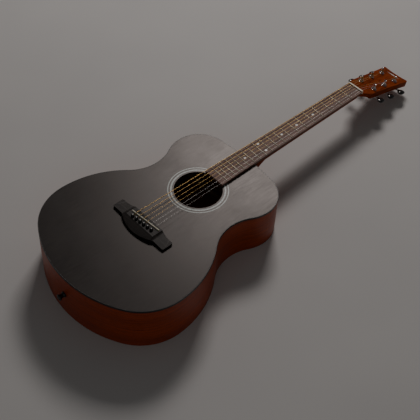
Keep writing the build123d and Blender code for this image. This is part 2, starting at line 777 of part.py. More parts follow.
def nut():
    half = NUT_WIDTH / 2
    blank = box(-half, half, 0, NUT_LENGTH, TOP_Z - 2, NUT_TOP)
    blank -= HEAD.location * box(-80, 80, -20, 220, -30, 0)
    top_edges = [e for e in blank.edges().filter_by(Axis.X) if e.center().Z > NUT_TOP - 0.1]
    blank = chamfer(sorted(top_edges, key=lambda e: e.center().Y)[-1], 1.2)
    for i in range(STRINGS):
        blank -= string_body(i, STRING_R[i] + STRING_PLAY)
    return up(blank)


# ---------------------------------------------------------------- strings
def string_level(y):
    return ACTION_NUT + (ACTION_BRIDGE - ACTION_NUT) * y / -SCALE_LENGTH


def nut_x(i):
    return (i - 2.5) * NUT_SPREAD / 5


def tuner_place(i):
    """Distance along the head and side of string i's post: bass strings left, treble strings right."""
    return (POST_S[i], -1) if i < BASS_STRINGS else (POST_S[STRINGS - 1 - i], 1)


def string_points(i):
    r = STRING_R[i]
    bx, nx = pin_x(i), nut_x(i)
    crest = saddle_y(bx)
    groove_y = pin_y(i) + PIN_R - PIN_GROOVE + r + 0.1
    plate_under = TOP_UNDER - BRIDGE_PLATE_T
    s, side = tuner_place(i)
    post_side = side * (POST_X - POST_WAIST_R - r - 0.3)
    post_end = HEAD.from_local_coords((post_side, s - 1.0, WRAP_HEIGHT))
    return [
        (bx, pin_y(i) + PIN_HOLE_R + 2.15, plate_under - 2.2),
        (bx, groove_y, plate_under - 0.9),
        (bx, groove_y, BRIDGE_TOP - 2 * r - 3.0),
        (bx, pin_y(i) + PIN_HEAD_R, BRIDGE_TOP - r - 0.35),
        (bx, crest, string_level(crest) + r),
        (nx, 0.5, string_level(0) + r),
        (nx, NUT_LENGTH - 0.5, string_level(0) + r - 0.35),
        tuple(post_end),
    ]


def string_body(i, r):
    """A string's own length as one round bar, bent where it passes the pin, the saddle and the nut."""
    points = string_points(i)
    path = FilletPolyline(*points, radius=[STRING_BEND] * (len(points) - 2))
    return up(sweep(Plane(origin=path @ 0, z_dir=path % 0) * Circle(r), path=path))


def guitar_string(i):
    """One string, with the ball that anchors it under the bridge plate."""
    x, y, z = string_points(i)[0]
    ball = rod((x - BALL_L / 2, y, z), (x + BALL_L / 2, y, z), BALL_R)
    return Compound(children=[up(string_body(i, STRING_R[i]) - ball), up(ball)])


# ---------------------------------------------------------------- tuners


def worm_frame(tuner):
    """Origin on the worm's axis at its first thread, Z out to the button, X towards the wheel."""
    s, side = tuner_place(tuner)
    origin = HEAD.from_local_coords((side * (POST_X - WORM_L / 2), s + CENTRES, GEAR_Z))
    return Plane(origin=origin, x_dir=-HEAD.y_dir, z_dir=HEAD.x_dir * side)


def worm_shaft_blank():
    path = Helix(WORM_PITCH, WORM_L, WORM_R)
    section_plane = Plane(origin=path @ 0, x_dir=(1, 0, 0), z_dir=path % 0)
    root_half = THREAD_HALF + (WORM_R - WORM_CORE_R + 0.1) * FLANK
    tip_half = THREAD_HALF - (WORM_TIP_R - WORM_R) * FLANK
    inner, outer = WORM_CORE_R - 0.1 - WORM_R, WORM_TIP_R - WORM_R
    points = [(inner, -root_half), (outer, -tip_half), (outer, tip_half), (inner, root_half)]
    section = section_plane.location * Face(Wire.make_polygon(points, close=True))
    thread = sweep(section, path=path, is_frenet=True)
    thread &= bar_in(Plane.XY, 0, 0, 0, WORM_L, WORM_TIP_R + 1)
    shaft = bar_in(Plane.XY, 0, 0, 0, WORM_L, WORM_CORE_R)
    shaft += bar_in(Plane.XY, 0, 0, -1.8, 0, STUB_R)
    shaft += bar_in(Plane.XY, 0, 0, WORM_L, BUTTON_START, SHAFT_R)
    return up(shaft + thread)


def wheel_blank():
    """The wheel, about its own axis Y, with skewed teeth. Its first tooth points at the worm, along -X."""
    disc = Rot(90, 0, 0) * Cylinder(WHEEL_ROOT_R, WHEEL_T)
    lead = atan2(WORM_PITCH, 2 * pi * WORM_R)
    root_half = TOOTH_HALF + (WHEEL_R - WHEEL_ROOT_R + 0.15) * FLANK
    tip_half = TOOTH_HALF - (WHEEL_TIP_R - WHEEL_R) * FLANK
    r0, r1 = WHEEL_ROOT_R - 0.15, WHEEL_TIP_R
    points = [(-r0, 0, -root_half), (-r1, 0, -tip_half), (-r1, 0, tip_half), (-r0, 0, root_half)]
    face = Face(Wire.make_polygon(points, close=True))
    along = Vector(0, cos(lead), sin(lead))
    reach = WHEEL_T / 2 / cos(lead)
    tooth = up(Pos(*(along * -reach)) * extrude(face, 2 * reach, dir=along))
    teeth = [Rot(0, 360 * k / TEETH, 0) * tooth for k in range(TEETH)]
    return up(disc + teeth)


def string_post(tuner, wheel):
    """The post, dished on top and waisted where the string winds, with the wheel on its foot."""
    s, side = tuner_place(tuner)
    foot = GEAR_Z - WHEEL_T / 2
    waist_low, waist, waist_high = POST_WAIST
    edges = [
        Line((0, foot), (0, POST_TOP - 0.8)),
        ThreePointArc((0, POST_TOP - 0.8), (1.1, POST_TOP - 0.5), (2.0, POST_TOP)),
        Line((2.0, POST_TOP), (POST_R - 0.3, POST_TOP)),
        Line((POST_R - 0.3, POST_TOP), (POST_R, POST_TOP - 0.3)),
        Line((POST_R, POST_TOP - 0.3), (POST_R, waist_high)),
        ThreePointArc((POST_R, waist_high), (POST_WAIST_R, waist), (POST_R, waist_low)),
        Line((POST_R, waist_low), (POST_R, foot)),
        Line((POST_R, foot), (0, foot)),
    ]
    post = revolve(Plane.XZ.location * Face(Wire(edges)), Axis.Z)
    post -= rod((0, -5, POST_HOLE_H), (0, 5, POST_HOLE_H), POST_HOLE_R)
    post += bar_in(Plane.XY, 0, 0, foot - PIVOT_L, foot, PIVOT_R)
    post = up(HEAD.location * Pos(side * POST_X, s, 0) * post)
    flat = worm_frame(tuner)
    centre = flat.origin + flat.x_dir * CENTRES + flat.z_dir * (WORM_L / 2)
    placed = Plane(origin=centre, x_dir=flat.x_dir, z_dir=flat.z_dir).location * wheel
    return Compound(children=[post, up(placed - post)])


def tuning_button(tuner):
    """An oval grip with a collar, on the end of the worm's shaft."""
    middle = Pos(0, 0, BUTTON_L / 2 + 2.5)
    grip = middle * extrude(Ellipse(BUTTON_HALF_W, BUTTON_HALF_T), BUTTON_L / 2, both=True)
    grip &= middle * Rot(90, 0, 0) * extrude(Ellipse(BUTTON_HALF_W, BUTTON_L / 2), 5, both=True)
    button = grip + bar_in(Plane.XY, 0, 0, 0, 3.0, 3.2)
    button -= bar_in(Plane.XY, 0, 0, 0, 2.0, SHAFT_R)
    return up(worm_frame(tuner).location * Pos(0, 0, BUTTON_START - 2.0) * button)


def housing_bores(tuner):
    """The rooms for the wheel, its pivot, the worm and its shaft, and the hole for the screw."""
    s, side = tuner_place(tuner)
    under_wheel = GEAR_Z - WHEEL_T / 2
    worm = worm_frame(tuner)
    return [
        bar_in(HEAD, side * POST_X, s, under_wheel - 0.3, 1 - HEAD_T, WHEEL_TIP_R + 0.45),
        bar_in(HEAD, side * POST_X, s, under_wheel - PIVOT_L - 0.2, GEAR_Z, PIVOT_R + FIT),
        bar_in(HEAD, side * SCREW_X, s - SCREW_OFF, -HEAD_T - 5, 1 - HEAD_T, SCREW_R),
        bar_in(worm, 0, 0, -0.3, WORM_L + 0.3, WORM_TIP_R + 0.35),
        bar_in(worm, 0, 0, -2.2, 0.2, STUB_R + FIT),
        bar_in(worm, 0, 0, WORM_L, WORM_L + 12, SHAFT_R + FIT),
    ]


def housing(tuner):
    """The gear case on the back of the head, with a nose round the shaft and a lug for its screw."""
    s, side = tuner_place(tuner)
    x_ends = sorted((side * (POST_X - HOUSING_HALF), side * (POST_X + HOUSING_HALF)))
    near_end = s - HOUSING_END
    shell = box(*x_ends, near_end, s + CENTRES + 4.0, -HEAD_T - HOUSING_T, -HEAD_T)
    shell = fillet(shell.edges().filter_by(Axis.Z), 3.0)
    shell = fillet(shell.faces().sort_by(Axis.Z)[0].edges(), 1.2)
    shell += Pos(side * SCREW_X, near_end, -HEAD_T - LUG_T / 2) * Box(6.4, 12, LUG_T)
    shell = HEAD.location * shell
    shell += bar_in(worm_frame(tuner), 0, 0, 10.0, 16.0, 3.1)
    for bore in housing_bores(tuner):
        shell -= bore
    return up(shell)


def tuner_bushing(tuner):
    s, side = tuner_place(tuner)
    sleeve = bar_in(HEAD, side * POST_X, s, -9, 0.5, BUSH_R)
    washer = bar_in(HEAD, side * POST_X, s, 0, 1.0, 7.0)
    nut_face = HEAD.offset(1.0).location * (Pos(side * POST_X, s) * RegularPolygon(6.0, 6))
    collar = extrude(nut_face, 2.2)
    crown = bar_in(HEAD, side * POST_X, s, 3.2, 4.2, 4.4)
    bush = sleeve + washer + collar + crown
    return up(bush - bar_in(HEAD, side * POST_X, s, -12, 8, POST_R + FIT))


def tuner_screw(tuner):
    s, side = tuner_place(tuner)
    x, y, seat = side * SCREW_X, s - SCREW_OFF, -HEAD_T - LUG_T
    shank = bar_in(HEAD, x, y, seat, -HEAD_T + SCREW_DEPTH, SCREW_R)
    cap = bar_in(HEAD, x, y, seat - 1.3, seat, 2.1)
    cross = Box(2.6, 0.6, 0.8) + Box(0.6, 2.6, 0.8)
    return up(shank + cap - HEAD.location * Pos(x, y, seat - 1.2) * cross)


# ---------------------------------------------------------------- putting it together
def all_nodes():
    bass, treble = side_walls()
    top_lining, back_lining = linings()
    nodes = {
        "top_plate": top_plate(),
        "back_plate": back_plate(),
        "side_bass": bass,
        "side_treble": treble,
        "top_binding": top_binding(),
        "top_lining": top_lining,
        "back_lining": back_lining,
        "rosette_rings": rosette_rings(),
        "top_braces": top_braces(),
        "bridge_plate": bridge_plate(),
        "back_braces": back_braces(),
        "back_seam_strip": back_seam_strip(),
        "neck_block": neck_block(),
        "tail_block": tail_block(),
        "bridge": bridge(),
        "saddle": saddle(),
        "strap_button": strap_button(),
        "neck": neck(),
        "heel_cap": heel_cap(),
        "fingerboard": fingerboard(),
        "frets": frets(),
        "position_dots": position_dots(),
        "nut": nut(),
        "truss_rod": truss_rod(),
        "truss_rod_nut": truss_rod_nut(),
        "head_inlay": head_inlay(),
        "tuner_housings": Compound(children=[housing(i) for i in range(STRINGS)]),
        "tuner_bushings": Compound(children=[tuner_bushing(i) for i in range(STRINGS)]),
        "tuner_screws": Compound(children=[tuner_screw(i) for i in range(STRINGS)]),
    }
    worm = worm_shaft_blank()
    wheel = wheel_blank()
    for i in range(STRINGS):
        nodes[f"string_{i + 1}"] = guitar_string(i)
        nodes[f"bridge_pin_{i + 1}"] = bridge_pin(i)
        nodes[f"tuning_button_{i + 1}"] = tuning_button(i)
        nodes[f"worm_shaft_{i + 1}"] = worm_frame(i).location * worm
        nodes[f"string_post_{i + 1}"] = string_post(i, wheel)
    return nodes


def laid_on_back(nodes):
    """Turn every piece so that the back lies on Z = 0, with the origin below the middle of the whole."""
    flat = BACK.location.inverse()
    turned = {name: flat * shape for name, shape in nodes.items()}
    boxes = [shape.bounding_box() for shape in turned.values()]
    low = [min(getattr(b.min, axis) for b in boxes) for axis in "XYZ"]
    high = [max(getattr(b.max, axis) for b in boxes) for axis in "XYZ"]
    middle = [(a + b) / 2 for a, b in zip(low, high)]
    shift = Pos(-middle[0], -middle[1], -low[2])
    return {name: shift * shape for name, shape in turned.items()}


os.makedirs("parts", exist_ok=True)
for node_name, node_shape in laid_on_back(all_nodes()).items():
    export_step(node_shape, f"parts/{node_name}.step")
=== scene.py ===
import json
import math

import bmesh
import bpy
from mathutils import Matrix, Vector


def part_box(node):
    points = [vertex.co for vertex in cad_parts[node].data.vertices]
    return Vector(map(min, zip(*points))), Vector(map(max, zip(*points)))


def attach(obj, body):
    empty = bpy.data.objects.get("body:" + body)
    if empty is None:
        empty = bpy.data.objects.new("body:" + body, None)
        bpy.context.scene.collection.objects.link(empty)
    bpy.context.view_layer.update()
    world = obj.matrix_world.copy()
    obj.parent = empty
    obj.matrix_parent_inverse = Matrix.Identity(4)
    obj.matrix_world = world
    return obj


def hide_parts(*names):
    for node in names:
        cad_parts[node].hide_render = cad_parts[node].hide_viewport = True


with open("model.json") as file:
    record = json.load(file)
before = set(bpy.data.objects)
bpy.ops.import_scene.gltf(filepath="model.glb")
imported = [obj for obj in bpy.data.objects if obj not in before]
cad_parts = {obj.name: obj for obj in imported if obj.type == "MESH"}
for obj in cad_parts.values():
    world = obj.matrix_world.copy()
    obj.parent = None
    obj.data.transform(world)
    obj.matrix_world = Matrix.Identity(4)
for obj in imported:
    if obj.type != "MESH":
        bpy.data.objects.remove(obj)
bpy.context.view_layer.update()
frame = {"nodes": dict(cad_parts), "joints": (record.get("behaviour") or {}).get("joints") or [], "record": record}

RECORD = frame["record"]
NODES = frame["nodes"]
JOINTS = {joint["name"]: joint for joint in frame["joints"]}
STRINGS = 6
BASS_STRINGS = 3
WOUND_STRINGS = 4
MM = 0.001

# ---------------------------------------------------------------- camera
CAMERA_DISTANCE = 2.044
CAMERA_AZIMUTH = math.radians(46.78)
CAMERA_ELEVATION = math.radians(50.13)
CAMERA_ROLL = math.radians(0.91)
CAMERA_AIM = Vector((-0.004, -0.1065, 0.0035))
CAMERA_LENS = 77.8
CAMERA_SHIFT = (-0.0021, -0.003)


def linked(name, data):
    obj = bpy.data.objects.new(name, data)
    bpy.context.scene.collection.objects.link(obj)
    return obj


def make_camera():
    data = bpy.data.cameras.new("camera")
    data.lens = CAMERA_LENS
    data.sensor_width = 36.0
    data.clip_start = 0.05
    data.shift_x, data.shift_y = CAMERA_SHIFT
    camera = linked("camera", data)
    level = math.cos(CAMERA_ELEVATION)
    back = Vector(
        (
            math.sin(CAMERA_AZIMUTH) * level,
            -math.cos(CAMERA_AZIMUTH) * level,
            math.sin(CAMERA_ELEVATION),
        )
    )
    turn = back.to_track_quat("Z", "Y").to_matrix().to_4x4() @ Matrix.Rotation(CAMERA_ROLL, 4, "Z")
    camera.matrix_world = Matrix.Translation(CAMERA_AIM + back * CAMERA_DISTANCE) @ turn
    bpy.context.scene.camera = camera


# ---------------------------------------------------------------- materials: short calls for shader nodes
class Recipe:
    """One material and short calls for the texture nodes it is built from. Lengths are in metres."""

    def __init__(self, name):
        self.material = bpy.data.materials.new(name)
        self.material.use_nodes = True
        self.tree = self.material.node_tree
        self.shader = self.tree.nodes["Principled BSDF"]
        self.where = self.node("ShaderNodeTexCoord").outputs["Object"]

    def feed(self, socket, value):
        if isinstance(value, bpy.types.NodeSocket):
            self.tree.links.new(value, socket)
        else:
            socket.default_value = value

    def node(self, kind, inputs=None, **settings):
        made = self.tree.nodes.new(kind)
        for key, value in settings.items():
            setattr(made, key, value)
        for key, value in (inputs or {}).items():
            self.feed(made.inputs[key], value)
        return made

    def stretched(self, x, y, z):
        """The object's own coordinates, scaled along each axis, so that textures run along the small one."""
        return self.node("ShaderNodeMapping", {"Vector": self.where, "Scale": (x, y, z)}).outputs[0]

    def noise(self, vector, size, detail=4.0, rough=0.55, bend=0.0):
        inputs = {"Vector": vector, "Scale": 1 / size, "Detail": detail}
        inputs.update({"Roughness": rough, "Distortion": bend})
        return self.node("ShaderNodeTexNoise", inputs).outputs["Fac"]

    def levels(self, value, low, high, to_low=0.0, to_high=1.0):
        inputs = {"Value": value, "From Min": low, "From Max": high}
        inputs.update({"To Min": to_low, "To Max": to_high})
        return self.node("ShaderNodeMapRange", inputs).outputs[0]

    def ramp(self, value, stops):
        made = self.node("ShaderNodeValToRGB", {"Fac": value})
        points = made.color_ramp.elements
        while len(points) < len(stops):
            points.new(0.5)
        for point, (place, colour) in zip(points, stops):
            point.position = place
            point.color = (*colour, 1.0)
        return made.outputs["Color"]

    def mix(self, factor, first, second, blend="MIX"):
        made = self.node("ShaderNodeMix", data_type="RGBA", blend_type=blend)
        self.feed(made.inputs[0], factor)
        self.feed(made.inputs[6], first)
        self.feed(made.inputs[7], second)
        return made.outputs[2]

    def math(self, operation, first, second=0.0):
        made = self.node("ShaderNodeMath", operation=operation)
        self.feed(made.inputs[0], first)
        self.feed(made.inputs[1], second)
        return made.outputs[0]

    def bump(self, height, depth, strength, under=None):
        inputs = {"Height": height, "Distance": depth, "Strength": strength}
        if under is not None:
            inputs["Normal"] = under
        return self.node("ShaderNodeBump", inputs).outputs[0]

    def done(self, **sockets):
        for key, value in sockets.items():
            self.feed(self.shader.inputs[key.replace("_", " ")], value)
        return self.material


def colour(red, green, blue):
    return (red, green, blue, 1.0)


def scaled(rgb, factor):
    return colour(*[factor * c for c in rgb])


# ---------------------------------------------------------------- materials: woods
def soundboard_black():
    """Straight, fine softwood grain under a satin black stain."""
    r = Recipe("soundboard_black")
    along = r.stretched(1, 0.012, 1)
    lines = r.noise(along, 1.3 * MM, 3, 0.6)
    bands = r.noise(along, 9 * MM, 2)
    cloud = r.noise(r.where, 90 * MM, 3)
    speck = r.noise(r.where, 0.6 * MM, 2)
    tint = r.mix(r.levels(lines, 0.35, 0.7), colour(0.006, 0.005, 0.0048), colour(0.012, 0.010, 0.0095))
    tint = r.mix(r.levels(bands, 0.35, 0.7, 0.0, 0.45), tint, colour(0.008, 0.007, 0.0065))
    rough = r.math("ADD", r.levels(lines, 0.3, 0.7, 0.33, 0.39), r.levels(cloud, 0.3, 0.7, -0.02, 0.03))
    grain = r.bump(lines, 0.05 * MM, 0.5)
    normal = r.bump(speck, 0.02 * MM, 0.25, grain)
    return r.done(Base_Color=tint, Roughness=rough, Normal=normal, Specular_Tint=colour(1.0, 0.92, 0.89))


def mahogany(name, stretch, pale, dark, rough, gloss=0.3):
    """Reddish open-pored wood whose grain follows the short axis of stretch."""
    r = Recipe(name)
    along = r.stretched(*stretch)
    streak = r.noise(along, 5 * MM, 5, 0.62, 0.15)
    fine = r.noise(along, 1.1 * MM, 3, 0.6)
    ribbon = r.noise(r.stretched(*[min(1.0, 3 * s) for s in stretch]), 22 * MM, 3)
    pores = r.noise(r.stretched(*[max(s, 0.05) for s in stretch]), 0.55 * MM, 2, 0.4)
    middle = [0.6 * a + 0.4 * b for a, b in zip(pale, dark)]
    tint = r.ramp(streak, ((0.28, dark), (0.52, middle), (0.72, pale)))
    tint = r.mix(r.levels(ribbon, 0.35, 0.68, 0.0, 0.55), tint, scaled(pale, 0.62))
    tint = r.mix(r.levels(fine, 0.45, 0.75, 0.0, 0.35), tint, scaled(pale, 1.25))
    pit = r.levels(pores, 0.60, 0.68)
    tint = r.mix(r.math("MULTIPLY", pit, 0.7), tint, scaled(dark, 0.35))
    roughness = r.levels(streak, 0.3, 0.7, rough - 0.04, rough + 0.06)
    normal = r.bump(r.math("SUBTRACT", fine, pit), 0.05 * MM, 0.35)
    return r.done(Base_Color=tint, Roughness=roughness, Normal=normal, Specular_IOR_Level=gloss)


BODY_PALE = (0.48, 0.064, 0.006)
BODY_DARK = (0.15, 0.015, 0.0015)


def rosewood(name, stretch, pale, middle, dark, rough, gloss=0.5):
    """Dark open-grained wood with greyish and reddish streaks."""
    r = Recipe(name)
    along = r.stretched(*stretch)
    streak = r.noise(along, 4.5 * MM, 5, 0.65, 0.2)
    fine = r.noise(along, 0.8 * MM, 3, 0.6)
    pores = r.noise(r.stretched(*[max(s, 0.06) for s in stretch]), 0.5 * MM, 2, 0.4)
    tint = r.ramp(streak, ((0.30, dark), (0.50, middle), (0.70, pale)))
    tint = r.mix(r.levels(fine, 0.4, 0.75, 0.0, 0.5), tint, scaled(dark, 0.55))
    pit = r.levels(pores, 0.58, 0.66)
    tint = r.mix(r.math("MULTIPLY", pit, 0.6), tint, scaled(dark, 0.4))
    roughness = r.levels(fine, 0.3, 0.7, rough, rough + 0.12)
    normal = r.bump(r.math("SUBTRACT", fine, pit), 0.07 * MM, 0.5)
    return r.done(Base_Color=tint, Roughness=roughness, Normal=normal, Specular_IOR_Level=gloss)


def spruce_darkened_as_shade():
    """Unfinished softwood inside the body, its pale colour darkened as painted shade for the dark inside of the
    body.
    """
    r = Recipe("spruce_darkened_as_shade")
    lines = r.noise(r.stretched(1, 0.03, 1), 1.5 * MM, 3)
    # painted shade: both grain tints are darker than bare spruce, so that the inside of the body looks dark
    tint = r.mix(r.levels(lines, 0.35, 0.7), colour(0.34, 0.20, 0.095), colour(0.22, 0.12, 0.05))
    return r.done(Base_Color=tint, Roughness=0.75, Normal=r.bump(lines, 0.08 * MM, 0.5))


# ---------------------------------------------------------------- materials: other stuffs
def polished(name, base, rough, **extra):
    """A smooth hard surface with fine handling marks in its polish."""
    r = Recipe(name)
    marks = r.noise(r.where, 0.6 * MM, 4, 0.6)
    smear = r.noise(r.where, 14 * MM, 3)
    smeared = colour(*[1.35 * c + 0.004 for c in base])
    tint = r.mix(r.levels(smear, 0.3, 0.7), colour(*base), smeared)
    marked = r.levels(marks, 0.3, 0.7, rough, rough + 0.08)
    roughness = r.math("ADD", marked, r.levels(smear, 0.3, 0.7, 0.0, 0.04))
    return r.done(Base_Color=tint, Roughness=roughness, Normal=r.bump(marks, 0.01 * MM, 0.3), **extra)


def bone():
    r = Recipe("bone")
    cloud = r.noise(r.stretched(0.3, 1, 1), 5 * MM, 4)
    speck = r.noise(r.stretched(0.15, 1, 1), 0.5 * MM, 2)
    tint = r.mix(r.levels(cloud, 0.3, 0.7), colour(0.86, 0.80, 0.64), colour(0.74, 0.66, 0.48))
    tint = r.mix(r.levels(speck, 0.6, 0.75, 0.0, 0.35), tint, colour(0.5, 0.42, 0.28))
    return r.done(Base_Color=tint, Roughness=r.levels(cloud, 0.3, 0.7, 0.3, 0.42), Subsurface_Weight=0.08)


def shell(name, tint_a, tint_b, size):
    """Pearly inlay whose clouds shift in colour."""
    r = Recipe(name)
    cloud = r.noise(r.where, size, 4, 0.6, 0.8)
    tint = r.mix(r.levels(cloud, 0.35, 0.65), colour(*tint_a), colour(*tint_b))
    roughness = r.levels(cloud, 0.3, 0.7, 0.28, 0.42)
    return r.done(Base_Color=tint, Roughness=roughness, Normal=r.bump(cloud, 0.02 * MM, 0.2))


def metal(name, base, rough, brush):
    """Metal with fine marks that run along the short axis of brush, and slight tarnish."""
    r = Recipe(name)
    marks = r.noise(r.stretched(*brush), 0.3 * MM, 3, 0.6)
    tarnish = r.noise(r.where, 6 * MM, 4)
    tint = r.mix(r.levels(tarnish, 0.45, 0.75, 0.0, 0.5), colour(*base), scaled(base, 0.62))
    marked = r.levels(marks, 0.3, 0.7, rough, rough + 0.10)
    roughness = r.math("ADD", marked, r.levels(tarnish, 0.4, 0.8, 0.0, 0.12))
    return r.done(Base_Color=tint, Metallic=1.0, Roughness=roughness, Normal=r.bump(marks, 0.01 * MM, 0.3))


def wound_string(name, pitch):
    """Bronze wire wound round a core: ridges across the string's length, which runs along Y, with painted shade in
    the grooves between the turns.
    """
    r = Recipe(name)
    waves = {"Vector": r.where, "Scale": 1 / (2 * pitch)}
    wire = r.node("ShaderNodeTexWave", waves, bands_direction="Y")
    wear = r.noise(r.where, 3 * MM, 3)
    # painted shade: the colour goes dark in the grooves between the wire's turns and stays bright bronze on their
    # crests
    tint = r.mix(r.levels(wire.outputs["Fac"], 0.1, 0.6), colour(0.42, 0.24, 0.07), colour(1.0, 0.72, 0.30))
    tint = r.mix(r.levels(wear, 0.4, 0.7, 0.0, 0.35), tint, colour(0.82, 0.58, 0.28))
    roughness = r.levels(wear, 0.3, 0.7, 0.36, 0.48)
    normal = r.bump(wire.outputs["Fac"], 0.08 * MM, 0.6)
    return r.done(Base_Color=tint, Metallic=1.0, Roughness=roughness, Normal=normal)


def make_woods():
    along_neck = (1, 0.015, 1)
    round_rim = (0.02, 0.02, 1)
    across = (0.02, 1, 1)
    neck_pale, neck_dark = (0.42, 0.070, 0.005), (0.07, 0.008, 0.0008)
    block_pale, block_dark = (0.45, 0.24, 0.13), (0.26, 0.12, 0.06)
    board_tints = ((0.42, 0.23, 0.165), (0.23, 0.105, 0.072), (0.085, 0.034, 0.022))
    bridge_tints = ((0.050, 0.040, 0.036), (0.024, 0.019, 0.017), (0.011, 0.008, 0.007))
    return {
        "soundboard_black": soundboard_black(),
        "body_mahogany": mahogany("rim_mahogany", round_rim, BODY_PALE, BODY_DARK, 0.40),
        "back_mahogany": mahogany("back_mahogany", along_neck, BODY_PALE, BODY_DARK, 0.40),
        "neck_mahogany": mahogany("neck_mahogany", along_neck, neck_pale, neck_dark, 0.48, 0.06),
        "inner_spruce": spruce_darkened_as_shade(),
        "inner_block_wood": mahogany("block_mahogany", (1, 1, 0.02), block_pale, block_dark, 0.7),
        "fingerboard_wood": rosewood("fingerboard_wood", along_neck, *board_tints, 0.5),
        "bridge_wood": rosewood("bridge_wood", across, *bridge_tints, 0.42, 0.28),
    }


def make_other_stuffs():
    black = (0.010, 0.010, 0.010)
    button_coat = {"Coat_Weight": 0.6, "Coat_Roughness": 0.05}
    return {
        "binding_black": polished("binding_black", black, 0.30, Specular_IOR_Level=0.6),
        "rosette_shell": shell("rosette_shell", (0.62, 0.70, 0.68), (0.42, 0.50, 0.485), 3 * MM),
        "bone": bone(),
        "pearl": shell("pearl", (0.90, 0.90, 0.86), (0.74, 0.78, 0.76), 1.5 * MM),
        "fret_wire": metal("fret_wire", (0.46, 0.42, 0.34), 0.30, (0.05, 1, 1)),
        "tuner_chrome": metal("tuner_chrome", (0.80, 0.80, 0.80), 0.08, (1, 1, 1)),
        "button_black": polished("button_black", (0.012, 0.011, 0.012), 0.10, **button_coat),
        "plain_steel": metal("plain_steel", (0.56, 0.55, 0.53), 0.28, (1, 1, 0.1)),
        "wound_bronze": wound_string("wound_bronze", 0.35 * MM),
        "string_steel": metal("string_steel", (0.96, 0.95, 0.92), 0.38, (1, 0.02, 1)),
        "pin_black": polished("pin_black", black, 0.14, Coat_Weight=0.4),
        "strap_button_black": polished("strap_button_black", black, 0.2),
    }


def paint(obj, material):
    obj.data.materials.clear()
    obj.data.materials.append(material)


SLOT_OF = {part["node"]: part["material_slot"] for part in RECORD["subparts"]}
OWN_MATERIAL = {"fingerboard": "fingerboard_wood", "bridge": "bridge_wood", "back_plate": "back_mahogany"}


def paint_cad_nodes(materials):
    for name, obj in NODES.items():
        paint(obj, materials[OWN_MATERIAL.get(name, SLOT_OF[name])])


# ---------------------------------------------------------------- softened edges on CAD nodes
EDGE_RADIUS = {
    "bridge": 0.5,
    "saddle": 0.3,
    "nut": 0.5,
    "neck": 0.8,
    "fingerboard": 0.35,
    "tuner_housings": 0.4,
    "tuner_bushings": 0.25,
    "frets": 0.25,
    "heel_cap": 0.3,
    "top_binding": 0.5,
}


def soften(obj, radius):
    """Round the sharp edges by modifiers, which leave the CAD mesh as it is.

    The bridge keeps its own normals, since hardened ones shade its large sloped face unevenly.
    """
    weld = obj.modifiers.new("weld", "WELD")
    weld.merge_threshold = 1e-6
    bevel = obj.modifiers.new("bevel", "BEVEL")
    bevel.width = radius
    bevel.segments = 3
    bevel.limit_method = "ANGLE"
    bevel.angle_limit = math.radians(40)
    bevel.harden_normals = obj.name != "bridge"


def soften_cad_edges():
    for name, radius in EDGE_RADIUS.items():
        soften(NODES[name], radius * MM)


# ---------------------------------------------------------------- places on the CAD
def joint_axis(name):
    joint = JOINTS[name]
    return Vector(joint["pos_m"]), Vector(joint["axis"]).normalized()


def side_of(index):
    """-1 for the bass strings on the left of the head, 1 for the treble strings on its right."""
    return -1 if index < BASS_STRINGS else 1


def post_frame(index):
    """The post's axis as a matrix: Z up the post, Y towards the head's tip."""
    foot, up = joint_axis(f"post_turn_{index + 1}")
    across = Vector((1, 0, 0))
    along = up.cross(across)
    turn = Matrix((across, along, up)).transposed().to_4x4()
    return Matrix.Translation(foot) @ turn


def smooth_object(name, mesh, matrix):
    """A finished bmesh as an object with smooth shading, moved by matrix from millimetres into the frame."""
    data = bpy.data.meshes.new(name)
    mesh.to_mesh(data)
    mesh.free()
    data.transform(matrix @ Matrix.Scale(MM, 4))
    data.validate()
    for face in data.polygons:
        face.use_smooth = True
    return linked(name, data)


# ---------------------------------------------------------------- string ends on the posts
# Millimetres. Levels run up the post from the middle of its wheel, and spacing is in string radii.
STRING_RADIUS = [0.67, 0.53, 0.40, 0.30, 0.20, 0.15]
WRAP_TURNS = [2.0, 2.25, 2.5, 3.0, 4.0, 5.0]
POST_WAIST = 2.5
WAIST_LEVEL = 27.1
WAIST_ARC = 8.66
WRAP_START = 25.4
WRAP_LEAD = 1.6
WRAP_SPACING = 2.06
STEPS_A_TURN = 28
HOLE_LEVEL = 28.7


def post_radius(level):
    """The radius of the post's waist, an arc, at a level above the wheel's middle."""
    return POST_WAIST + WAIST_ARC - math.sqrt(WAIST_ARC ** 2 - (level - WAIST_LEVEL) ** 2)


def string_piece(name, index, points, material):
    """A round piece of string through points given in millimetres from the post's joint."""
    curve = bpy.data.curves.new(name, "CURVE")
    curve.dimensions = "3D"
    curve.bevel_depth = STRING_RADIUS[index] * MM
    curve.bevel_resolution = 6
    curve.use_fill_caps = True
    spline = curve.splines.new("POLY")
    spline.points.add(len(points) - 1)
    matrix = post_frame(index)
    for point, place in zip(spline.points, points):
        point.co = (*(matrix @ (Vector(place) * MM)), 1)
    obj = linked(name, curve)
    paint(obj, material)
    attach(obj, f"post_{index + 1}")


def string_wrap(index, material):
    """The turns of a string round its post, from the inner side of the post up to its hole."""
    r = STRING_RADIUS[index]
    on_treble = side_of(index) > 0
    inner, way = (math.pi, -1) if on_treble else (0.0, 1)
    steps = int(STEPS_A_TURN * WRAP_TURNS[index])
    points = []
    for k in range(steps + 1):
        turned = WRAP_TURNS[index] * 2 * math.pi * k / steps
        rise = min(WRAP_SPACING * r * turned / (2 * math.pi), HOLE_LEVEL - WRAP_START - r)
        level = WRAP_START + rise
        angle = inner + way * turned
        reach = post_radius(level) + r
        points.append((reach * math.cos(angle), reach * math.sin(angle), level))
    first_x, first_y, first_z = points[0]
    points.insert(0, (first_x, first_y - WRAP_LEAD, first_z))
    string_piece(f"string_wrap_{index + 1}", index, points, material)


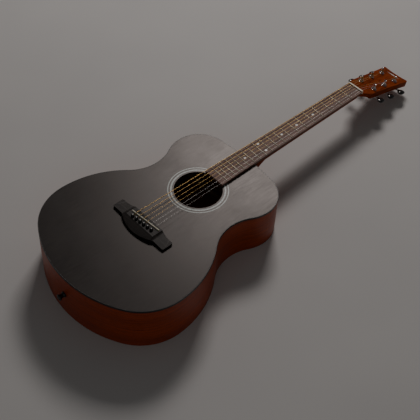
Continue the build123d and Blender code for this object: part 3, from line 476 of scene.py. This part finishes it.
def string_tail(index, material):
    """The end of the string, through the post's hole, bent aside and cut short."""
    through = [(0, -3.4, HOLE_LEVEL), (0, 0, HOLE_LEVEL), (0, 3.6, HOLE_LEVEL)]
    cut_end = (side_of(index) * 1.0, 5.2, HOLE_LEVEL - 0.2)
    string_piece(f"string_tail_{index + 1}", index, [*through, cut_end], material)


# ---------------------------------------------------------------- tuning buttons
# Millimetres, and shares of the length of the button.
BUTTON_HALF_WIDTH = 10.2
BUTTON_HALF_THICK = 4.2
COLLAR_HALF_WIDTH = 3.1
COLLAR_HALF_THICK = 3.0
COLLAR_SHARE = 0.14
WIDEST_SHARE = 0.57
SWELL_POWER = 2.6
BUTTON_SQUARENESS = 0.85
BUTTON_RINGS = 22
BUTTON_SIDES = 40


def button_frame(index):
    """The key's axis as a matrix: Z out along the shaft, X towards the head's tip."""
    origin, out = joint_axis(f"key_turn_{index + 1}")
    _, post_up = joint_axis(f"post_turn_{index + 1}")
    along = post_up.cross(Vector((1, 0, 0)))
    thick = out.cross(along)
    turn = Matrix((along, thick, out)).transposed().to_4x4()
    return Matrix.Translation(origin) @ turn


def button_halves(along):
    """Half the grip's width and thickness at a share of its length, from the collar to the rounded end."""
    swell = 0.0
    if along > COLLAR_SHARE:
        grip = (along - COLLAR_SHARE) / (1 - COLLAR_SHARE)
        swell = max(0.0, 1 - abs(2 * grip - 1) ** SWELL_POWER)
    if along < WIDEST_SHARE:
        width = COLLAR_HALF_WIDTH + (BUTTON_HALF_WIDTH - COLLAR_HALF_WIDTH) * swell ** 0.5
        return width, COLLAR_HALF_THICK + (BUTTON_HALF_THICK - COLLAR_HALF_THICK) * swell
    return BUTTON_HALF_WIDTH * swell ** 0.42, BUTTON_HALF_THICK * swell ** 0.5


def squared(value):
    """A cosine or sine pushed outwards, which makes a circle a superellipse."""
    return math.copysign(abs(value) ** BUTTON_SQUARENESS, value)


def tuning_button(index, material):
    """A smooth kidney-shaped grip: rings of superellipses along the shaft."""
    low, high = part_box(f"tuning_button_{index + 1}")
    joint_x = abs(JOINTS[f"key_turn_{index + 1}"]["pos_m"][0])
    start = (min(abs(low.x), abs(high.x)) - joint_x) / MM
    end = (max(abs(low.x), abs(high.x)) - joint_x) / MM
    mesh = bmesh.new()
    angles = [2 * math.pi * j / BUTTON_SIDES for j in range(BUTTON_SIDES)]
    loops = []
    for k in range(BUTTON_RINGS + 1):
        along = (1 - math.cos(math.pi * k / BUTTON_RINGS)) / 2
        z = start + (end - start) * along
        half_w, half_t = button_halves(along)
        ring = [(half_w * squared(math.cos(a)), half_t * squared(math.sin(a)), z) for a in angles]
        loops.append([mesh.verts.new(place) for place in ring])
    for a, b in zip(loops, loops[1:]):
        for j in range(BUTTON_SIDES):
            after = (j + 1) % BUTTON_SIDES
            mesh.faces.new((a[j], a[after], b[after], b[j]))
    mesh.faces.new(loops[0][::-1])
    mesh.faces.new(loops[-1])
    obj = smooth_object(f"button_{index + 1}", mesh, button_frame(index))
    rounding = obj.modifiers.new("subdivide", "SUBSURF")
    rounding.levels = rounding.render_levels = 1
    paint(obj, material)
    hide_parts(f"tuning_button_{index + 1}")
    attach(obj, f"key_{index + 1}")


# ---------------------------------------------------------------- bridge pins
# Radius and height of the dot's surface over the top of the pin, in millimetres.
DOT_SIDES = 32
DOT_PROFILE = ((0.0, 0.12), (0.6, 0.09), (1.1, -0.03), (1.4, -0.17), (1.45, -0.5), (0.0, -0.5))


def pin_dot(index, material):
    """A pearl dot let into the domed head of a bridge pin, a turned lens."""
    pin = NODES[f"bridge_pin_{index + 1}"]
    up = Vector(JOINTS[f"pin_pull_{index + 1}"]["axis"]).normalized()
    places = [pin.matrix_world @ vertex.co for vertex in pin.data.vertices]
    height = max(place.dot(up) for place in places)
    crown = [place for place in places if place.dot(up) > height - 0.01 * MM]
    top = sum(crown, Vector()) / len(crown)
    turn = up.to_track_quat("Z", "Y").to_matrix().to_4x4()
    angles = [2 * math.pi * k / DOT_SIDES for k in range(DOT_SIDES)]
    mesh = bmesh.new()
    first = mesh.verts.new((0, 0, DOT_PROFILE[0][1]))
    last = mesh.verts.new((0, 0, DOT_PROFILE[-1][1]))
    rings = []
    for radius, level in DOT_PROFILE[1:-1]:
        ring = [(radius * math.cos(a), radius * math.sin(a), level) for a in angles]
        rings.append([mesh.verts.new(place) for place in ring])
    for k in range(DOT_SIDES):
        after = (k + 1) % DOT_SIDES
        mesh.faces.new((first, rings[0][k], rings[0][after]))
        mesh.faces.new((last, rings[-1][after], rings[-1][k]))
        for upper, lower in zip(rings, rings[1:]):
            mesh.faces.new((upper[k], lower[k], lower[after], upper[after]))
    obj = smooth_object(f"pin_dot_{index + 1}", mesh, Matrix.Translation(top) @ turn)
    paint(obj, material)
    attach(obj, f"pin_{index + 1}")


# ---------------------------------------------------------------- studio
def area_light(name, place, aim, size, power, tint=(1, 1, 1)):
    data = bpy.data.lights.new(name, "AREA")
    data.shape = "RECTANGLE"
    data.size, data.size_y = size
    data.energy = power
    data.color = tint
    place, aim = Vector(place), Vector(aim)
    turn = (place - aim).to_track_quat("Z", "Y").to_matrix().to_4x4()
    linked(name, data).matrix_world = Matrix.Translation(place) @ turn


def studio():
    world = bpy.data.worlds.new("studio")
    bpy.context.scene.world = world
    world.use_nodes = True
    background = world.node_tree.nodes["Background"]
    background.inputs["Color"].default_value = (1.0, 0.97, 0.94, 1)
    background.inputs["Strength"].default_value = 0.05
    warm = (1.0, 0.93, 0.89)
    area_light("key", (-1.7, 2.1, 2.4), (0, 0.05, 0.1), (1.0, 0.8), 42, warm)
    area_light("fill", (1.6, -1.9, 1.5), (0, 0, 0.05), (1.4, 1.0), 2)


def floor():
    bpy.ops.mesh.primitive_plane_add(size=40, location=(0, 0, -0.0006))
    plane = bpy.context.object
    plane.name = "floor"
    r = Recipe("floor_paper")
    tooth = r.noise(r.where, 1.2 * MM, 4)
    tone = r.noise(r.where, 350 * MM, 2)
    tint = r.mix(r.levels(tone, 0.3, 0.7), colour(0.73, 0.73, 0.73), colour(0.77, 0.77, 0.765))
    paint(plane, r.done(Base_Color=tint, Roughness=0.8, Normal=r.bump(tooth, 0.05 * MM, 0.2)))


make_camera()
studio()
floor()
materials = make_woods() | make_other_stuffs()
paint_cad_nodes(materials)
soften_cad_edges()
for i in range(STRINGS):
    stuff = materials["wound_bronze" if i < WOUND_STRINGS else "string_steel"]
    string_wrap(i, stuff)
    string_tail(i, stuff)
    tuning_button(i, materials["button_black"])
    pin_dot(i, materials["pearl"])
